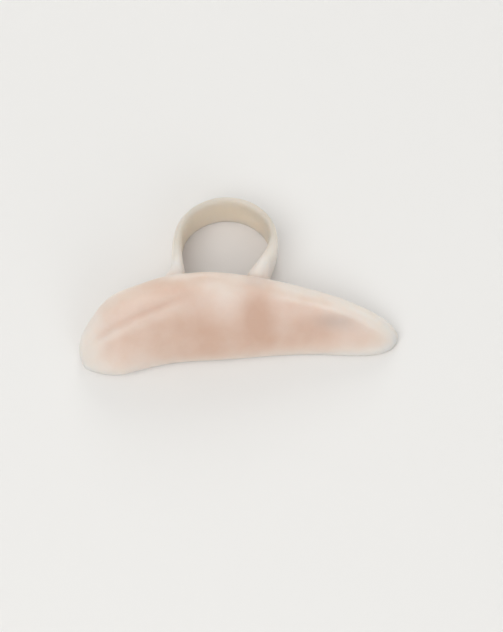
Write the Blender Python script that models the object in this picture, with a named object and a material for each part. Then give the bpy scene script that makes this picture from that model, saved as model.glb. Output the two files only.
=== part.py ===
# Gel toe crest pad for a left foot: a tapered crest that fills the crease under the toes,
# moulded in one piece with the loop that slips over the second toe.
#
# Frame, in metres: +X runs along the crest from the big toe's side to the little toe's side,
# +Z runs along the toe from its root to its tip, and -Y is the side that faces the ground in use.
# The piece lies as a ring lies, on its flat root side, with the toe's way through the loop upright.
# The origin is on that flat side, under the middle of the crest.

import bisect
import math

import bmesh
import bpy
from mathutils import Vector

# Crest: end to end, front to back and root to rim, with the soft dish and fold of the face that rests
# on the ground, and how far the two ends round out
PAD_LENGTH = 0.068
PAD_DEPTH = 0.0146
PAD_HEIGHT = 0.0165
DISH_DEPTH = 0.0008
FOLD_DEPTH = 0.0009
TIP_BULGE = 0.0008
FACE_LEAN_DEGREES = 45

# Toe loop: its clear width and its clear depth behind the crest, where it stands along the crest,
# its band, and the thicker feet by which the band grows out of the crest
LOOP_INNER_WIDTH = 0.0186
LOOP_INNER_DEPTH = 0.0202
LOOP_CENTRE_X = -0.0012
BAND_THICKNESS = 0.0022
BAND_WIDTH = 0.01
BAND_EDGE = 0.0015
BAND_EDGE_SHARE = 0.62
FOOT_THICKNESS = 0.0052
FOOT_FLARE = 0.007

# Smoothing of the cage, and what is struck off the root side to leave it flat
SMOOTHING = 2
BASE_TRIM = 0.00025

# The gel
GEL_COLOUR = (0.80, 0.70, 0.60, 1.0)
GEL_ROUGHNESS = 0.38

# Sections of the crest, from the big toe's end to the little toe's end. Each is a share:
# along of half the crest's length, front and depth of PAD_DEPTH, height of PAD_HEIGHT,
# dish of DISH_DEPTH and fold of FOLD_DEPTH.
SECTION_COLUMNS = ("along", "front", "depth", "height", "dish", "fold")
SECTION_SHARES = (
    (-0.98, -0.46, 0.41, 0.29, 0.0, 0.0),
    (-0.91, -0.555, 0.67, 0.50, 0.0, 0.5),
    (-0.79, -0.65, 0.95, 0.76, 0.0, 1.0),
    (-0.66, -0.60, 0.92, 0.87, 0.2, 1.0),
    (-0.50, -0.52, 0.93, 0.95, 0.2, 0.8),
    (-0.30, -0.50, 0.94, 0.99, 0.2, 0.2),
    (-0.09, -0.53, 0.96, 0.97, 0.3, 0.0),
    (0.15, -0.51, 0.85, 0.87, 0.8, 0.0),
    (0.35, -0.51, 0.76, 0.75, 1.0, 0.0),
    (0.56, -0.55, 0.70, 0.62, 0.9, 0.0),
    (0.74, -0.60, 0.61, 0.50, 0.5, 0.0),
    (0.87, -0.61, 0.49, 0.37, 0.2, 0.0),
    (0.94, -0.54, 0.35, 0.26, 0.0, 0.0),
    (0.97, -0.47, 0.22, 0.18, 0.0, 0.0),
)

# The outline that every section of the crest shares, from its base up the front and down the back:
# across is a share of the section's depth from its front, up a share of its height,
# and dish and fold say how much of the section's dish and fold the point sinks by.
OUTLINE_COLUMNS = ("name", "across", "up", "dish", "fold")
OUTLINE_SHARES = (
    ("base_front", 0.24, 0.00, 0.0, 0.0),
    ("front_low", -0.03, 0.02, 0.0, 0.0),
    ("front_high", -0.03, 0.36, 0.2, 0.0),
    ("face_low", 0.20, 0.68, 1.0, -0.4),
    ("face_high", 0.50, 0.93, 1.0, 1.0),
    ("rim_front", 0.79, 1.07, 0.0, -0.2),
    ("rim_back", 1.06, 1.00, 0.0, 0.0),
    ("foot_top", 1.02, 0.84, 0.0, 0.0),
    ("foot_upper", 0.93, 0.56, 0.0, 0.0),
    ("foot_lower", 0.88, 0.24, 0.0, 0.0),
    ("foot_base", 0.88, 0.00, 0.0, 0.0),
    ("base_back", 0.60, 0.00, 0.0, 0.0),
)
FOOT_ROWS = ("foot_top", "foot_upper", "foot_lower", "foot_base")

# The loop's two legs where they leave the crest, seen along the toe: across is a share of the loop's
# half width, out a share of its reach beyond the crest. Between the legs the loop is an arc of an
# ellipse, whose depth is ARC_SHARE of that reach.
LEG_COLUMNS = ("across", "out")
LEFT_LEG_SHARES = ((-1.16, 0.07), (-1.05, 0.24))
RIGHT_LEG_SHARES = ((0.74, 0.28), (0.54, 0.07))
ARC_SHARE = 0.45
ARC_START_DEGREES, ARC_END_DEGREES = 168, 2
ARC_POINTS = 8

# Rings of the cage: steps along the crest before, between and after the loop's feet,
# and rings of the loop, which stand closer together near the feet by LOOP_EASE_SHARE
STEPS_LEFT, STEPS_BETWEEN, STEPS_RIGHT = 5, 2, 5
LOOP_RINGS = 12
LOOP_EASE_SHARE = 0.55
FITTING_ROUNDS = 4


def table(columns, rows):
    """The rows of a table as dicts by column name."""
    return [dict(zip(columns, row)) for row in rows]


def clear_scene():
    for obj in list(bpy.data.objects):
        bpy.data.objects.remove(obj)


def smooth_value(knots, values, at):
    """A Catmull-Rom curve through the values, read at one place."""
    index = min(max(bisect.bisect_right(knots, at) - 1, 0), len(knots) - 2)
    before, after = max(index - 1, 0), min(index + 2, len(knots) - 1)
    span = knots[index + 1] - knots[index]
    share = (at - knots[index]) / span
    leave = (values[index + 1] - values[before]) / (knots[index + 1] - knots[before]) * span
    arrive = (values[after] - values[index]) / (knots[after] - knots[index]) * span
    square, cube = share * share, share * share * share
    return (
        (2 * cube - 3 * square + 1) * values[index]
        + (cube - 2 * square + share) * leave
        + (3 * square - 2 * cube) * values[index + 1]
        + (cube - square) * arrive
    )


def section_at(along):
    """The crest's section sizes at a share of its half length."""
    rows = table(SECTION_COLUMNS, SECTION_SHARES)
    knots = [row["along"] for row in rows]
    return {name: smooth_value(knots, [row[name] for row in rows], along) for name in SECTION_COLUMNS[1:]}


def section_points(x):
    """The outline's points round the crest at one place along it."""
    size = section_at(x / (PAD_LENGTH / 2))
    front, depth, height = size["front"] * PAD_DEPTH, size["depth"] * PAD_DEPTH, size["height"] * PAD_HEIGHT
    lean = math.radians(FACE_LEAN_DEGREES)
    points = []
    for row in table(OUTLINE_COLUMNS, OUTLINE_SHARES):
        sunk = row["dish"] * size["dish"] * DISH_DEPTH + row["fold"] * size["fold"] * FOLD_DEPTH
        y = front + row["across"] * depth + sunk * math.sin(lean)
        z = row["up"] * height - sunk * math.cos(lean) - BASE_TRIM
        points.append(Vector((x, y, z)))
    return points


def crest_row(name, x):
    """The point of one of the outline's rows at a place along the crest."""
    return section_points(x)[[row[0] for row in OUTLINE_SHARES].index(name)]


def loop_half_width():
    return (LOOP_INNER_WIDTH + BAND_THICKNESS) / 2


def loop_reach():
    """How far the loop's middle line goes beyond the crest's back."""
    return LOOP_INNER_DEPTH + BAND_THICKNESS / 2


def crest_back():
    return crest_row("foot_upper", LOOP_CENTRE_X).y


def leg_points(leg):
    """A leg's points in plan."""
    points = []
    for row in table(LEG_COLUMNS, leg):
        x = LOOP_CENTRE_X + row["across"] * loop_half_width()
        points.append(Vector((x, crest_back() + row["out"] * loop_reach(), 0)))
    return points


def arc_points():
    """The loop's far half in plan, an arc of an ellipse."""
    depth = ARC_SHARE * loop_reach()
    centre = Vector((LOOP_CENTRE_X, crest_back() + loop_reach() - depth, 0))
    points = []
    for i in range(ARC_POINTS):
        turned = (ARC_END_DEGREES - ARC_START_DEGREES) * i / (ARC_POINTS - 1)
        angle = math.radians(ARC_START_DEGREES + turned)
        points.append(centre + Vector((loop_half_width() * math.cos(angle), depth * math.sin(angle), 0)))
    return points


def tip_ease(share):
    return 1 - math.cos(math.pi / 2 * share)


def crest_stations():
    """Places of the crest's rings along X, and the indices of the rings before each of the loop's feet."""
    along = [row["along"] for row in table(SECTION_COLUMNS, SECTION_SHARES)]
    first, last = along[0] * PAD_LENGTH / 2, along[-1] * PAD_LENGTH / 2
    left, right = leg_points(LEFT_LEG_SHARES)[0].x, leg_points(RIGHT_LEG_SHARES)[-1].x
    half = FOOT_THICKNESS / 2
    # Towards the ends the rings stand closer, so that the tips come out round
    left_part = [first + (left - half - first) * tip_ease(i / STEPS_LEFT) for i in range(STEPS_LEFT)]
    middle = [left + half + (right - left - 2 * half) * i / STEPS_BETWEEN for i in range(STEPS_BETWEEN)]
    right_part = [last - (last - right - half) * tip_ease(i / STEPS_RIGHT) for i in range(STEPS_RIGHT)]
    stations = left_part + [left - half] + middle + [right - half, right + half] + right_part[::-1]
    return stations, STEPS_LEFT, STEPS_LEFT + 1 + STEPS_BETWEEN


def lengths_along(points):
    """The distance of each point from the first one, along the line through them."""
    places = [0.0]
    for a, b in zip(points, points[1:]):
        places.append(places[-1] + (b - a).length)
    return places


def cage_through(points):
    """The cage points whose smoothed line passes through the given ones."""
    cage = list(points)
    for _ in range(FITTING_ROUNDS):
        smoothed = [(a + 4 * b + c) / 6 for a, b, c in zip(cage, cage[1:], cage[2:])]
        for i, point in enumerate(smoothed, start=1):
            cage[i] = cage[i] + points[i] - point
    return cage


def loop_line():
    """The cage of the loop's middle line in plan."""
    corners = leg_points(LEFT_LEG_SHARES) + arc_points() + leg_points(RIGHT_LEG_SHARES)
    knots = lengths_along(corners)
    xs, ys = [c.x for c in corners], [c.y for c in corners]
    line = []
    for i in range(LOOP_RINGS):
        share = i / (LOOP_RINGS - 1)
        place = knots[-1] * (share - LOOP_EASE_SHARE * math.sin(2 * math.pi * share) / (2 * math.pi))
        line.append(Vector((smooth_value(knots, xs, place), smooth_value(knots, ys, place), 0)))
    return cage_through(line)


def flare_at(distance):
    """How much of its foot's extra size the band has, from 1 at the crest to 0 past the flare."""
    share = max(0.0, 1 - distance / FOOT_FLARE)
    return share * share * (3 - 2 * share)


def band_ring(centre, direction, thickness, width):
    """One ring of the band: four levels down its outer side, then four up its inner side."""
    outward = Vector((-direction.y, direction.x, 0)) * thickness / 2
    levels = ((width, BAND_EDGE_SHARE), (width - BAND_EDGE, 1.0), (BAND_EDGE, 1.0), (0.0, BAND_EDGE_SHARE))
    outer = [centre + outward * share + Vector((0, 0, z - BASE_TRIM)) for z, share in levels]
    inner = [centre - outward * share + Vector((0, 0, z - BASE_TRIM)) for z, share in levels]
    return outer + inner[::-1]


def band_rings():
    """The band from its left foot round to its right one."""
    line = loop_line()
    places = lengths_along(line)
    rings = []
    for i, centre in enumerate(line):
        direction = (line[min(i + 1, len(line) - 1)] - line[max(i - 1, 0)]).normalized()
        foot, distance = line[0], places[i]
        if distance > places[-1] / 2:
            foot, distance = line[-1], places[-1] - places[i]
        flare = flare_at(distance)
        root_top = crest_row("foot_top", foot.x).z + BASE_TRIM
        width = BAND_WIDTH + (root_top - BAND_WIDTH) * flare
        thickness = BAND_THICKNESS + (FOOT_THICKNESS - BAND_THICKNESS) * flare
        rings.append(band_ring(centre, direction, thickness, width))
    return rings


def cap(shell, ring, bulge):
    """Closes a twelve-point ring with a three by three patch of quads that stands out by bulge."""
    side = len(ring) // 4
    corners = [ring[0], ring[side], ring[2 * side], ring[3 * side]]
    grid = [[None] * (side + 1) for _ in range(side + 1)]
    for i in range(side + 1):
        grid[0][i] = ring[i]
        grid[i][side] = ring[side + i]
        grid[side][side - i] = ring[2 * side + i]
        grid[side - i][0] = ring[(3 * side + i) % len(ring)]
    for r in range(1, side):
        for c in range(1, side):
            down, along = r / side, c / side
            rows = grid[0][c].co.lerp(grid[side][c].co, down)
            columns = grid[r][0].co.lerp(grid[r][side].co, along)
            near = corners[0].co.lerp(corners[1].co, along)
            far = corners[3].co.lerp(corners[2].co, along)
            grid[r][c] = shell.verts.new(rows + columns - near.lerp(far, down) + Vector((bulge, 0, 0)))
    for r in range(side):
        for c in range(side):
            shell.faces.new((grid[r][c], grid[r][c + 1], grid[r + 1][c + 1], grid[r + 1][c]))


def join_rings(shell, first, second, skipped=()):
    """Quads between two rings of as many points, leaving out those that start at a skipped index."""
    count = len(first)
    for i in range(count):
        if i not in skipped:
            j = (i + 1) % count
            shell.faces.new((first[i], first[j], second[j], second[i]))


def crest_and_loop():
    """The control cage of the whole moulding."""
    shell = bmesh.new()
    stations, left_ring, right_ring = crest_stations()
    rings = [[shell.verts.new(p) for p in section_points(x)] for x in stations]
    foot = [i for i, row in enumerate(OUTLINE_SHARES) if row[0] in FOOT_ROWS]
    for i, (first, second) in enumerate(zip(rings, rings[1:])):
        join_rings(shell, first, second, foot[:-1] if i in (left_ring, right_ring) else ())
    cap(shell, rings[0], -TIP_BULGE)
    cap(shell, rings[-1], TIP_BULGE)
    band = [[shell.verts.new(p) for p in ring] for ring in band_rings()]
    left_root = [rings[left_ring][i] for i in foot] + [rings[left_ring + 1][i] for i in foot[::-1]]
    right_root = [rings[right_ring + 1][i] for i in foot] + [rings[right_ring][i] for i in foot[::-1]]
    chain = [left_root] + band + [right_root]
    for first, second in zip(chain, chain[1:]):
        join_rings(shell, first, second)
    bmesh.ops.recalc_face_normals(shell, faces=shell.faces)
    return shell


def gel_material():
    material = bpy.data.materials.new("gel")
    material.use_nodes = True
    shader = material.node_tree.nodes["Principled BSDF"]
    shader.inputs["Base Color"].default_value = GEL_COLOUR
    shader.inputs["Roughness"].default_value = GEL_ROUGHNESS
    shader.inputs["Metallic"].default_value = 0.0
    return material


def new_object(name, shell):
    mesh = bpy.data.meshes.new(name)
    shell.to_mesh(mesh)
    shell.free()
    obj = bpy.data.objects.new(name, mesh)
    bpy.context.scene.collection.objects.link(obj)
    return obj


def base_cutter():
    """A block under the floor plane, which trims the moulding's root side flat."""
    shell = bmesh.new()
    bmesh.ops.create_cube(shell, size=2 * (PAD_LENGTH + loop_reach()))
    bmesh.ops.translate(shell, vec=(0, 0, -PAD_LENGTH - loop_reach()), verts=shell.verts)
    cutter = new_object("base_cutter", shell)
    cutter.hide_render = True
    cutter.display_type = "WIRE"
    return cutter


def build():
    clear_scene()
    pad = new_object("gel_toe_pad", crest_and_loop())
    pad.data.materials.append(gel_material())
    rounding = pad.modifiers.new("rounding", "SUBSURF")
    rounding.levels = SMOOTHING
    rounding.render_levels = SMOOTHING
    trim = pad.modifiers.new("flat_base", "BOOLEAN")
    trim.operation = "DIFFERENCE"
    trim.object = base_cutter()
    pad.data.shade_smooth()


build()
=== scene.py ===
"""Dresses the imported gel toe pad: soft skin, milky gel, a pale studio and the camera. Lengths in metres."""

import math

import bmesh
import bpy
import numpy as np
from mathutils import Matrix, Vector, noise
from mathutils.bvhtree import BVHTree


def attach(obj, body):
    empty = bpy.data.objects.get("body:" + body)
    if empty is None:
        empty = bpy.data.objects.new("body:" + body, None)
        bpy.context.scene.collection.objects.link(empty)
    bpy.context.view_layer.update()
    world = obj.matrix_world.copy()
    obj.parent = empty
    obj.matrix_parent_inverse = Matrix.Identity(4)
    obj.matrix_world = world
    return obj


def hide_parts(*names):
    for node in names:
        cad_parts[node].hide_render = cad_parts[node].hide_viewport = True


NODE = "gel_toe_pad"

# Camera: the photograph's angle in degrees, from far off through a long lens, and the point it aims at
VIEW_AZIMUTH, VIEW_ELEVATION = -4.7, 64.0
CAMERA_DISTANCE = 1.2
LENS_MM, SENSOR_MM = 321.0, 36.0
AIM_RIGHT, AIM_UP = 0.00287, 0.00283
CLIP_START, CLIP_END = 0.01, 10.0

# Skin: the fine mesh that the soft surface is worked in, and the height above the flat resting side
# over which its relief grows from nothing
WELD_DISTANCE = 1e-6
SKIN_CELL = 0.0003
SKIN_SMOOTHING = 0.5
SKIN_SMOOTH_ROUNDS = 8
BASE_FADE = 0.0012

# Face: how squarely its points turn to the camera's angle, as a cosine, where it starts and where it is full
FACE_START, FACE_FULL = 0.1, 0.5

# Lines of relief on the face: each point is (along the crest, up the face) as seen from the camera's angle
CREASE_LINE = (
    (-0.0304, -0.0018), (-0.0277, -0.0004), (-0.0204, 0.0033), (-0.0153, 0.0052), (-0.0117, 0.0067)
)
SHORT_CREASE_LINE = ((-0.0275, -0.003), (-0.0255, -0.0027), (-0.0237, -0.0022))
ROLL_LINE = (
    (0.009, 0.0063), (0.0145, 0.0054), (0.0198, 0.0041), (0.0246, 0.0024), (0.0285, 0.0004), (0.0307, -0.001)
)

# Highest power of the smooth curve drawn through a line's points
LINE_DEGREE = 3

# Crease: a fine valley with a low ridge under it, how softly both end, and the short one's share of both
CREASE_DEPTH, CREASE_WIDTH = 0.00015, 0.0008
RIDGE_HEIGHT, RIDGE_WIDTH, RIDGE_DROP = 0.0002, 0.0013, 0.0017
CREASE_FADE = 0.003
SHORT_CREASE_SHARE = 0.4

# Roll: how far the slim end's upper edge stands proud, how soft its step is, and how softly it ends
ROLL_HEIGHT = 0.0002
ROLL_SOFTNESS = 0.0005
ROLL_FADE = 0.003

# Unevenness of soft gel: the height and length of its waves and of its finer ripples
WAVE_HEIGHT, WAVE_LENGTH = 0.00011, 0.009
RIPPLE_HEIGHT, RIPPLE_LENGTH = 0.00003, 0.0028

# Depth of gel behind each point: the rays and the half angle of their cone, how far under the skin they
# start, the depth that counts as full, and how often the result is evened out
DEPTH_RAYS = 16
DEPTH_CONE_DEGREES = 80
DEPTH_START = 0.00005
DEPTH_FULL = 0.014
DEPTH_SOFTEN_ROUNDS = 8

# Painted highlight and shade on the relief: raised gel is painted paler, and sunk gel, as in the creases,
# warmer and darker, by this much for each metre
PAINTED_RELIEF_SHADING = 380.0

# Cloudy places in the gel of the face, some of them painted shadow, such as the upright dark band across the
# middle: along, up, half length, half height, and warmer (+) or paler (-)
CLOUDS_AND_SHADOWS = (
    (-0.0032, 0.0060, 0.0042, 0.0046, -0.13),
    (0.0045, 0.0030, 0.0036, 0.0070, 0.20),
    (-0.0060, -0.0010, 0.0070, 0.0034, 0.09),
    (0.0180, 0.0012, 0.0090, 0.0028, 0.25),
    (0.0153, 0.0054, 0.0060, 0.0015, 0.08),
    (0.0170, -0.0030, 0.0130, 0.0024, 0.21),
    (-0.0065, -0.0052, 0.0110, 0.0020, 0.12),
    (-0.0230, -0.0025, 0.0050, 0.0030, 0.05),
    (-0.0280, -0.0070, 0.0050, 0.0035, 0.03),
    (-0.0315, -0.0030, 0.0030, 0.0050, -0.08),
    (-0.0250, 0.0052, 0.0060, 0.0025, 0.08),
    (0.0290, -0.0020, 0.0045, 0.0035, 0.14),
    (0.0170, 0.0065, 0.0095, 0.0026, 0.06),
    (-0.0155, 0.0086, 0.0075, 0.0026, 0.16),
    (-0.0070, 0.0114, 0.0055, 0.0016, 0.12),
)

# Painted shade: greyer places on the face, below the slim end's rolled edge and at the top of the dark band:
# along, up, half length, half height, and share of the grey
PAINTED_SHADES = (
    (0.0205, 0.0022, 0.0042, 0.0018, 0.58),
    (0.0238, 0.0009, 0.0062, 0.0019, 0.35),
    (0.0038, 0.0103, 0.0026, 0.0013, 0.4),
)

# How much of its saturation and brightness a place wholly in painted shade keeps
SHADE_SATURATION, SHADE_VALUE = 0.82, 0.84

# Higher is a crisper edge to each cloudy place and each place of painted shade or shadow
PATCH_EDGE = 1.4

# Gel colour: its place on the scale from thin and paler gel to deep and warmer gel, and the colour there; the
# paler thin gel at the rims is partly painted glow of light passing through them
GEL_COLOURS = (
    (0.24, (0.93, 0.79, 0.67)),
    (0.42, (0.90, 0.832, 0.78)),
    (0.56, (0.875, 0.78, 0.718)),
    (0.82, (0.785, 0.622, 0.53)),
    (1.0, (0.70, 0.49, 0.385)),
)

# Gel body: how its light scatters, with the reach of red, green and blue, and its thin soft shine
SCATTER_WEIGHT = 1.0
SCATTER_DEPTH = 0.005
SCATTER_REACH = (1.0, 0.88, 0.78)
GEL_IOR = 1.41
SHINE_WEIGHT = 0.15
SHINE_ROUGHNESS = 0.28

# Thin gel lets light straight through: the shares of full depth between which that falls, and the share
# of the light that passes at each
CLEAR_DEPTHS = (0.14, 0.34)
CLEARNESS = (0.45, 0.10)

# Noise in the gel, by cells for each metre and detail: the range of warmth that the mottle gives, the
# range of roughness that the gloss gives, and the strength and height of the grain
MOTTLE_SCALE, MOTTLE_DETAIL = 260.0, 3.0
MOTTLE_RANGE = (-0.09, 0.09)
GLOSS_SCALE, GLOSS_DETAIL = 420.0, 2.0
ROUGHNESS_RANGE = (0.30, 0.44)
GRAIN_SCALE, GRAIN_DETAIL = 1100.0, 3.0
GRAIN_STRENGTH, GRAIN_HEIGHT = 0.7, 0.0001

# Studio: a round floor that curves up into a backdrop
FLOOR_RADIUS = 0.9
FLOOR_RINGS = 4
BOWL_RADIUS = 1.7
BOWL_HEIGHT = 1.3
BOWL_RINGS = 24
BOWL_SIDES = 96
FLOOR_COLOUR = (0.88, 0.88, 0.875, 1.0)
FLOOR_ROUGHNESS = 0.9
FLOOR_SHINE = 0.15

# Lamps, which all aim at the pad: name, place, width, watts and colour
LAMPS = (
    ("key_light", (-0.42, -0.42, 0.95), 0.85, 4.1, (1.0, 0.98, 0.95)),
    ("fill_light", (0.30, -0.75, 0.45), 0.7, 1.3, (0.98, 0.99, 1.0)),
    ("back_light", (0.1, 0.75, 0.45), 0.4, 1.3, (1.0, 0.99, 0.97)),
)

# Even light from the room all round
ROOM_COLOUR = (1.0, 0.99, 0.97, 1.0)
ROOM_STRENGTH = 0.58


def smooth_step(values, start, end):
    """Rises from 0 at start to 1 at end."""
    share = np.clip((values - start) / (end - start), 0.0, 1.0)
    return share * share * (3.0 - 2.0 * share)


def view_axes():
    """The right, up and backward directions of the camera's angle."""
    turn = math.radians(VIEW_AZIMUTH)
    lift = math.radians(VIEW_ELEVATION)
    back = Vector((math.sin(turn) * math.cos(lift), -math.cos(turn) * math.cos(lift), math.sin(lift)))
    right = Vector((math.cos(turn), math.sin(turn), 0.0))
    return right, back.cross(right), back


def new_object(name, data):
    """A new object in the scene that shows a mesh, a lamp or a camera."""
    made = bpy.data.objects.new(name, data)
    bpy.context.scene.collection.objects.link(made)
    return made


def shade_smooth(mesh):
    """Shades every face of a mesh smooth."""
    mesh.polygons.foreach_set("use_smooth", [True] * len(mesh.polygons))


def welded_copy(mesh):
    """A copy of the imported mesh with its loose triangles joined."""
    work = bmesh.new()
    work.from_mesh(mesh)
    bmesh.ops.remove_doubles(work, verts=work.verts, dist=WELD_DISTANCE)
    copy = bpy.data.meshes.new("welded")
    work.to_mesh(copy)
    work.free()
    return copy


def fine_mesh(mesh):
    """The same shape in small even cells, smoothed."""
    holder = new_object("holder", mesh)
    cells = holder.modifiers.new("cells", "REMESH")
    cells.mode = "VOXEL"
    cells.voxel_size = SKIN_CELL
    calm = holder.modifiers.new("calm", "SMOOTH")
    calm.factor = SKIN_SMOOTHING
    calm.iterations = SKIN_SMOOTH_ROUNDS
    bpy.context.view_layer.update()
    done = holder.evaluated_get(bpy.context.evaluated_depsgraph_get())
    fine = bpy.data.meshes.new_from_object(done)
    bpy.data.objects.remove(holder)
    return fine


def mesh_arrays(mesh):
    """The places and normals of a mesh's points."""
    places = np.empty(len(mesh.vertices) * 3)
    normals = np.empty(len(mesh.vertices) * 3)
    mesh.vertices.foreach_get("co", places)
    mesh.vertex_normals.foreach_get("vector", normals)
    return places.reshape(-1, 3), normals.reshape(-1, 3)


def face_map(places, normals):
    """Each point's place along the crest and up the face, and how fully it belongs to the face."""
    right, up, back = (np.array(axis) for axis in view_axes())
    return places @ right, places @ up, smooth_step(normals @ back, FACE_START, FACE_FULL)


def distance_from_line(along, up, line):
    """How far each point lies above a smooth line that is drawn on the face."""
    stations, heights = np.array(line).T
    curve = np.polynomial.Polynomial.fit(stations, heights, min(LINE_DEGREE, len(line) - 1))
    inside = np.clip(along, stations.min(), stations.max())
    slope = curve.deriv()(inside)
    return (up - curve(inside)) / np.sqrt(1.0 + slope * slope)


def between(along, line, fade):
    """1 along the middle of a line, fading to 0 at its ends."""
    start = line[0][0]
    end = line[-1][0]
    past_start = smooth_step(along, start - fade, start + fade)
    past_end = smooth_step(along, end - fade, end + fade)
    return past_start * (1.0 - past_end)


def bump_at(distance, width):
    """A soft bump, 1 high where the distance is 0."""
    return np.exp(-(distance / width) ** 2)


def fold(along, up, line):
    """A fine valley with a low ridge under it."""
    distance = distance_from_line(along, up, line)
    valley = -CREASE_DEPTH * bump_at(distance, CREASE_WIDTH)
    ridge = RIDGE_HEIGHT * bump_at(distance + RIDGE_DROP, RIDGE_WIDTH)
    return (valley + ridge) * between(along, line, CREASE_FADE)


def crease_relief(along, up):
    """The long soft fold on the fat end, and a fainter short one below it."""
    return fold(along, up, CREASE_LINE) + SHORT_CREASE_SHARE * fold(along, up, SHORT_CREASE_LINE)


def roll_relief(along, up):
    """The upper edge of the slim end, which stands a little proud of the dished face."""
    distance = distance_from_line(along, up, ROLL_LINE)
    raised = smooth_step(distance, -ROLL_SOFTNESS, ROLL_SOFTNESS)
    return ROLL_HEIGHT * raised * between(along, ROLL_LINE, ROLL_FADE)


def face_relief(along, up):
    """How far the folds and the rolled edge raise or sink each point of the face."""
    return crease_relief(along, up) + roll_relief(along, up)


def wave_relief(places):
    """The slight unevenness of soft moulded gel."""
    waves = [noise.noise(Vector(place) / WAVE_LENGTH) for place in places]
    ripples = [noise.noise(Vector(place) / RIPPLE_LENGTH) for place in places]
    return WAVE_HEIGHT * np.array(waves) + RIPPLE_HEIGHT * np.array(ripples)


def shape_skin(mesh):
    """Works the folds and the unevenness into the skin, and keeps its resting side flat."""
    places, normals = mesh_arrays(mesh)
    along, up, on_face = face_map(places, normals)
    relief = on_face * face_relief(along, up) + wave_relief(places)
    relief *= smooth_step(places[:, 2], 0.0, BASE_FADE)
    places = places + normals * relief[:, None]
    places[:, 2] = np.maximum(places[:, 2], 0.0)
    mesh.vertices.foreach_set("co", places.ravel())
    mesh.update()


def cone_directions():
    """Directions spread evenly over a cone round +Z."""
    golden_turn = math.pi * (3.0 - math.sqrt(5.0))
    lowest = math.cos(math.radians(DEPTH_CONE_DEGREES))
    directions = []
    for number in range(DEPTH_RAYS):
        rise = 1.0 - (1.0 - lowest) * (number + 0.5) / DEPTH_RAYS
        reach = math.sqrt(1.0 - rise * rise)
        turn = golden_turn * number
        directions.append(Vector((reach * math.cos(turn), reach * math.sin(turn), rise)))
    return directions


def gel_depths(mesh):
    """The mean depth of gel behind each point, as a share of the depth that counts as full."""
    places, normals = mesh_arrays(mesh)
    corners = [Vector(place) for place in places]
    tree = BVHTree.FromPolygons(corners, [tuple(face.vertices) for face in mesh.polygons])
    cone = cone_directions()
    depths = np.empty(len(corners))
    for number, (place, normal) in enumerate(zip(corners, normals)):
        inward = -Vector(normal)
        turn = Vector((0.0, 0.0, 1.0)).rotation_difference(inward)
        start = place + inward * DEPTH_START
        total = 0.0
        for direction in cone:
            reach = tree.ray_cast(start, turn @ direction, DEPTH_FULL)[3]
            total += DEPTH_FULL if reach is None else reach
        depths[number] = total / (DEPTH_RAYS * DEPTH_FULL)
    return soften(mesh, depths, DEPTH_SOFTEN_ROUNDS)


def soften(mesh, values, rounds):
    """Takes each point's value halfway to the mean of its neighbours', as often as asked."""
    edges = np.empty(len(mesh.edges) * 2, dtype=int)
    mesh.edges.foreach_get("vertices", edges)
    first, second = edges.reshape(-1, 2).T
    size = len(values)
    count = np.bincount(first, minlength=size) + np.bincount(second, minlength=size)
    for _ in range(rounds):
        around = np.bincount(first, values[second], size) + np.bincount(second, values[first], size)
        values = 0.5 * values + 0.5 * around / count
    return values


def soft_patches(along, up, patches):
    """The sum of soft oval patches on the face."""
    total = np.zeros(len(along))
    for centre, level, half_length, half_height, amount in patches:
        away = ((along - centre) / half_length) ** 2 + ((up - level) / half_height) ** 2
        total += amount * np.exp(-away ** PATCH_EDGE)
    return total


def store(mesh, name, values):
    """Keeps a value for each point, which the material reads by its name."""
    mesh.attributes.new(name, "FLOAT", "POINT").data.foreach_set("value", values)


def store_tints(mesh):
    """Keeps how much warmer or paler each point of the face is, with painted highlight and shade on the
    relief and painted shadow among the clouds, and how much painted grey shade it has.
    """
    along, up, on_face = face_map(*mesh_arrays(mesh))
    # Painted highlight and shade from the relief, and painted shadow among the cloudy places, go into this
    # tint
    warmth_and_shade = soft_patches(along, up, CLOUDS_AND_SHADOWS) - PAINTED_RELIEF_SHADING * face_relief(along, up)
    store(mesh, "cloud_and_shade_tint", on_face * warmth_and_shade)
    # The grey share is painted shade
    store(mesh, "painted_shade_share", on_face * soft_patches(along, up, PAINTED_SHADES))


def set_inputs(node, inputs):
    """Sets a node's inputs to values, or links them from the outputs of other nodes."""
    for name, value in inputs.items():
        if isinstance(value, bpy.types.NodeSocket):
            node.id_data.links.new(value, node.inputs[name])
        else:
            node.inputs[name].default_value = value


def add_node(tree, kind, inputs, **settings):
    """A new node with its settings and inputs."""
    node = tree.nodes.new(kind)
    for name, value in settings.items():
        setattr(node, name, value)
    set_inputs(node, inputs)
    return node


def stored(tree, name):
    """A value that the mesh keeps for each point."""
    return add_node(tree, "ShaderNodeAttribute", {}, attribute_name=name).outputs["Fac"]


def noise_at(tree, place, scale, detail):
    """Soft noise from 0 to 1 through the gel."""
    noise_inputs = {"Vector": place, "Scale": scale, "Detail": detail}
    return add_node(tree, "ShaderNodeTexNoise", noise_inputs).outputs["Fac"]


def added(tree, first, second):
    """The sum of two outputs."""
    return add_node(tree, "ShaderNodeMath", {0: first, 1: second}, operation="ADD").outputs["Value"]


def spread(tree, value, results, limits=(0.0, 1.0)):
    """Takes a value between the limits to the same place between the results."""
    inputs = {
        "Value": value,
        "From Min": limits[0],
        "From Max": limits[1],
        "To Min": results[0],
        "To Max": results[1],
    }
    return add_node(tree, "ShaderNodeMapRange", inputs).outputs["Result"]


def colour_on_scale(tree, value, stops):
    """The colour at a value's place among the stops."""
    ramp = add_node(tree, "ShaderNodeValToRGB", {"Fac": value})
    elements = ramp.color_ramp.elements
    elements[0].position = stops[0][0]
    elements[1].position = stops[-1][0]
    for place, _ in stops[1:-1]:
        elements.new(place)
    for element, (_, colour) in zip(elements, stops):
        element.color = (*colour, 1.0)
    return ramp.outputs["Color"]


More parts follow.
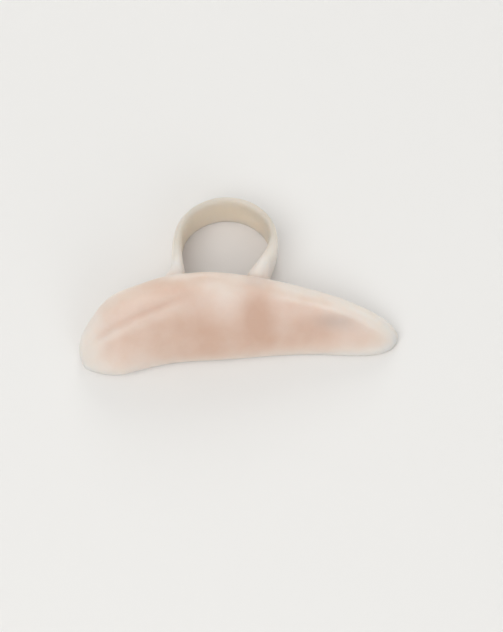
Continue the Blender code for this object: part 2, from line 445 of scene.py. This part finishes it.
def gel_colour(tree, place):
    """Cream where the gel is thin and warmer where it is deep, mottled, with cloudy places, painted highlight
    and shade on the relief, and painted shadow and grey shade.
    """
    mottle = spread(tree, noise_at(tree, place, MOTTLE_SCALE, MOTTLE_DETAIL), MOTTLE_RANGE)
    # The cloud tint holds painted highlight, shade and shadow as well as cloudiness
    clouded = added(tree, stored(tree, "gel_depth"), stored(tree, "cloud_and_shade_tint"))
    inputs = {
        "Color": colour_on_scale(tree, added(tree, clouded, mottle), GEL_COLOURS),
        # Painted shade greys the colour here
        "Fac": stored(tree, "painted_shade_share"),
        "Saturation": SHADE_SATURATION,
        "Value": SHADE_VALUE,
    }
    return add_node(tree, "ShaderNodeHueSaturation", inputs).outputs["Color"]


def gel_clearness(tree):
    """How much light passes straight through, which falls as the gel gets deeper."""
    return spread(tree, stored(tree, "gel_depth"), CLEARNESS, CLEAR_DEPTHS)


def gel_roughness(tree, place):
    """Uneven gloss."""
    return spread(tree, noise_at(tree, place, GLOSS_SCALE, GLOSS_DETAIL), ROUGHNESS_RANGE)


def gel_grain(tree, place):
    """The fine grain of the surface."""
    height = noise_at(tree, place, GRAIN_SCALE, GRAIN_DETAIL)
    inputs = {"Height": height, "Strength": GRAIN_STRENGTH, "Distance": GRAIN_HEIGHT}
    return add_node(tree, "ShaderNodeBump", inputs).outputs["Normal"]


def new_material(name):
    """A new material, and its shader."""
    material = bpy.data.materials.new(name)
    material.use_nodes = True
    return material, material.node_tree.nodes["Principled BSDF"]


def gel_material():
    """Milky soft gel with a thin soft shine."""
    material, shader = new_material("milky_gel")
    tree = material.node_tree
    place = add_node(tree, "ShaderNodeTexCoord", {}).outputs["Object"]
    set_inputs(shader, {
        "Subsurface Weight": SCATTER_WEIGHT,
        "Subsurface Scale": SCATTER_DEPTH,
        "Subsurface Radius": SCATTER_REACH,
        "IOR": GEL_IOR,
        "Coat Weight": SHINE_WEIGHT,
        "Coat Roughness": SHINE_ROUGHNESS,
        "Base Color": gel_colour(tree, place),
        "Transmission Weight": gel_clearness(tree),
        "Roughness": gel_roughness(tree, place),
        "Normal": gel_grain(tree, place),
    })
    return material


def floor_material():
    """The floor's pale matt finish."""
    material, shader = new_material("pale_floor")
    set_inputs(shader, {
        "Base Color": FLOOR_COLOUR,
        "Roughness": FLOOR_ROUGHNESS,
        "Specular IOR Level": FLOOR_SHINE,
    })
    return material


def gel_pad(node):
    """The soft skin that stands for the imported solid."""
    mesh = fine_mesh(welded_copy(node.data))
    mesh.name = "gel_pad"
    shape_skin(mesh)
    store(mesh, "gel_depth", gel_depths(mesh))
    store_tints(mesh)
    shade_smooth(mesh)
    mesh.materials.clear()
    mesh.materials.append(gel_material())
    pad = new_object("gel_pad", mesh)
    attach(pad, "root")
    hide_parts(NODE)


def bowl_profile():
    """The radius and height of each ring, out over the flat floor and up the curved backdrop."""
    profile = [(FLOOR_RADIUS * ring / FLOOR_RINGS, 0.0) for ring in range(1, FLOOR_RINGS + 1)]
    for ring in range(1, BOWL_RINGS + 1):
        angle = math.pi / 2 * ring / BOWL_RINGS
        radius = FLOOR_RADIUS + (BOWL_RADIUS - FLOOR_RADIUS) * math.sin(angle)
        profile.append((radius, BOWL_HEIGHT * (1.0 - math.cos(angle))))
    return profile


def ring_points(work, radius, height):
    """One level ring of the bowl's points."""
    turns = [2 * math.pi * side / BOWL_SIDES for side in range(BOWL_SIDES)]
    return [work.verts.new((radius * math.cos(turn), radius * math.sin(turn), height)) for turn in turns]


def studio_bowl():
    """A round floor that curves up into a backdrop on every side."""
    work = bmesh.new()
    rings = [ring_points(work, radius, height) for radius, height in bowl_profile()]
    work.faces.new(rings[0])
    for low, high in zip(rings, rings[1:]):
        for side in range(BOWL_SIDES):
            after = (side + 1) % BOWL_SIDES
            work.faces.new((low[side], high[side], high[after], low[after]))
    mesh = bpy.data.meshes.new("floor")
    work.to_mesh(mesh)
    work.free()
    shade_smooth(mesh)
    mesh.materials.append(floor_material())
    floor = new_object("floor", mesh)


def soft_lamp(name, place, width, watts, colour):
    """A round soft lamp that aims at the pad."""
    lamp = bpy.data.lights.new(name, "AREA")
    lamp.shape = "DISK"
    lamp.size = width
    lamp.energy = watts
    lamp.color = colour
    light = new_object(name, lamp)
    light.location = place
    light.rotation_euler = (-Vector(place)).to_track_quat("-Z", "Y").to_euler()


def studio_light():
    """Soft light from above, a low lamp behind that shines through the gel's edges, and a pale room."""
    for name, place, width, watts, colour in LAMPS:
        soft_lamp(name, place, width, watts, colour)
    room = bpy.data.worlds.new("studio")
    room.use_nodes = True
    set_inputs(room.node_tree.nodes["Background"], {"Color": ROOM_COLOUR, "Strength": ROOM_STRENGTH})
    bpy.context.scene.world = room


def photo_camera():
    """The photograph's own view of the pad."""
    right, up, back = view_axes()
    lens = bpy.data.cameras.new("photo_camera")
    lens.lens = LENS_MM
    lens.sensor_width = SENSOR_MM
    lens.clip_start = CLIP_START
    lens.clip_end = CLIP_END
    camera = new_object("photo_camera", lens)
    place = right * AIM_RIGHT + up * AIM_UP + back * CAMERA_DISTANCE
    turn = Matrix((right, up, back)).transposed()
    camera.matrix_world = Matrix.Translation(place) @ turn.to_4x4()
    bpy.context.scene.camera = camera


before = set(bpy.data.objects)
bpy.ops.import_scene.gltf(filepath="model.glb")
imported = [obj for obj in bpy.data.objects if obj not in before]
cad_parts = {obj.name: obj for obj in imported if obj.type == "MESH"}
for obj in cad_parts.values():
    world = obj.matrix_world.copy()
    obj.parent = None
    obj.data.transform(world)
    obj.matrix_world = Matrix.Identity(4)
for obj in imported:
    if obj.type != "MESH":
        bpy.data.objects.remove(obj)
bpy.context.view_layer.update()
gel_pad(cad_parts[NODE])
studio_bowl()
studio_light()
photo_camera()
bpy.context.scene.view_settings.view_transform = "Standard"
bpy.context.view_layer.update()
